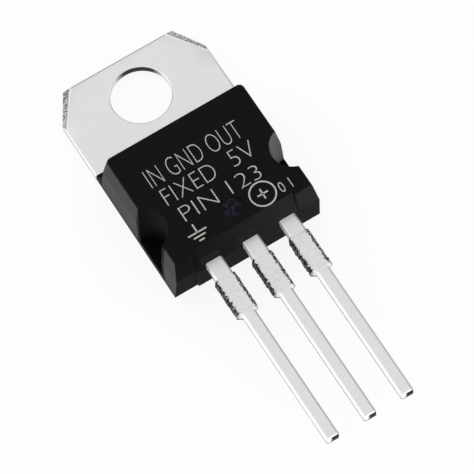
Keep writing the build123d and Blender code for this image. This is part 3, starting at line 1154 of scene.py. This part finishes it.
# %% [markdown]
# ## Marks on the front
# The marks here say only what any such part has: what its three leads are, that it gives a
# fixed five volts, the lead numbers, a ground sign, and a plus in a ring. Text starts as a
# text curve, which is turned into a mesh and fitted between two ends and two heights. Places
# are in millimetres, with heights counted from the moulding's lead side.

# %% Words
MARK_LIFT = 0.004 * MM
LETTER_THINNING = -0.025
SMALL_LETTER_THINNING = -0.010
LETTER_DEPTH = 0.01
CURVE_STEPS = 4
marks = bmesh.new()


def up(height):
    return lead_side_y / MM + height


def add_words(words, ends, heights, thinning=LETTER_THINNING):
    """Fit words between two ends and between two heights."""
    curve = bpy.data.curves.new("words", "FONT")
    curve.body, curve.offset = words, thinning
    curve.extrude, curve.resolution_u = LETTER_DEPTH, CURVE_STEPS
    writer = bpy.data.objects.new("words", curve)
    bpy.context.scene.collection.objects.link(writer)
    evaluated = writer.evaluated_get(bpy.context.evaluated_depsgraph_get())
    mesh = bpy.data.meshes.new_from_object(evaluated)
    letters = bmesh.new()
    letters.from_mesh(mesh)
    xs = [vert.co.x for vert in letters.verts]
    ys = [vert.co.y for vert in letters.verts]
    fit_x = [(min(xs), ends[0] * MM), (max(xs), ends[1] * MM)]
    fit_y = [(min(ys), up(heights[0]) * MM), (max(ys), up(heights[1]) * MM)]
    for vert in letters.verts:
        lift = MARK_LIFT if vert.co.z > 0 else -MARK_LIFT
        vert.co = (part_way(vert.co.x, fit_x), part_way(vert.co.y, fit_y), top_z + lift)
    letters.to_mesh(mesh)
    letters.free()
    marks.from_mesh(mesh)
    bpy.data.objects.remove(writer)
    bpy.data.meshes.remove(mesh)


print("words ready")

# %% [markdown]
# The ground sign and the ringed plus need no font: a bar is a stretched cube, and the ring is
# a small rectangle spun about its centre.

# %% Bars and rings
STROKE = 0.10 * MM
RING_STEPS = 56


def add_bar(start, end):
    """One straight stroke between two places on the front."""
    start, end = (Vector((x, up(height))) * MM for x, height in (start, end))
    along = end - start
    middle = ((start + end) / 2).to_3d() + Vector((0, 0, top_z))
    turn = Matrix.Rotation(atan2(along.y, along.x), 4, "Z")
    size = Matrix.Diagonal((along.length, STROKE, 2 * MARK_LIFT, 1))
    bmesh.ops.create_cube(marks, size=1, matrix=Matrix.Translation(middle) @ turn @ size)


def add_ring(centre, radius):
    """A stroke all the way round a centre."""
    x, y = centre[0] * MM, up(centre[1]) * MM
    section = (Matrix.Translation((x + radius * MM, y, top_z)) @ Matrix.Rotation(pi / 2, 4, "X")
               @ Matrix.Diagonal((STROKE, 2 * MARK_LIFT, 1, 1)))
    made = bmesh.ops.create_grid(marks, x_segments=1, y_segments=1, size=0.5, matrix=section)
    start = list({face for vert in made["verts"] for face in vert.link_faces})
    edges = list({edge for face in start for edge in face.edges})
    bmesh.ops.spin(marks, geom=made["verts"] + edges, cent=(x, y, 0), axis=(0, 0, 1),
                   dvec=(0, 0, 0), angle=2 * pi, steps=RING_STEPS, use_merge=True,
                   use_duplicate=False)
    bmesh.ops.delete(marks, geom=[face for face in start if face.is_valid], context="FACES_ONLY")


print("bars and rings ready")

# %% [markdown]
# Each row of marks shares a base line and a cap height, so the rows are named once. The
# ground sign is a stem over three bars, each shorter than the one above it.

# %% Marks
NAMES_ROW = (5.25, 6.51)
VOLTS_ROW = (3.80, 4.90)
NUMBERS_ROW = (2.35, 3.35)
SMALL_ROW = (0.85, 1.55)
GROUND_X = -2.55
GROUND_STEM = (1.40, 2.00)
GROUND_BARS = ((0.62, 1.40), (0.40, 1.13), (0.18, 0.86))
RING_X, RING_UP = 1.98, 1.44
RING_RADIUS = 0.80
PLUS_HALF = 0.36
add_words("IN GND OUT", (-3.30, 3.05), NAMES_ROW)
add_words("FIXED", (-3.10, 0.40), VOLTS_ROW)
add_words("5V", (1.50, 3.10), VOLTS_ROW)
add_words("PIN", (-2.75, -0.40), NUMBERS_ROW)
add_words("123", (0.50, 2.60), NUMBERS_ROW)
add_words("0 1", (2.98, 3.78), SMALL_ROW, SMALL_LETTER_THINNING)
add_bar((GROUND_X, GROUND_STEM[1]), (GROUND_X, GROUND_STEM[0]))
for half_length, height in GROUND_BARS:
    add_bar((GROUND_X - half_length, height), (GROUND_X + half_length, height))
add_ring((RING_X, RING_UP), RING_RADIUS)
add_bar((RING_X - PLUS_HALF, RING_UP), (RING_X + PLUS_HALF, RING_UP))
add_bar((RING_X, RING_UP - PLUS_HALF), (RING_X, RING_UP + PLUS_HALF))
as_piece(marks, "laser_marks", chalky, slot="black_epoxy")
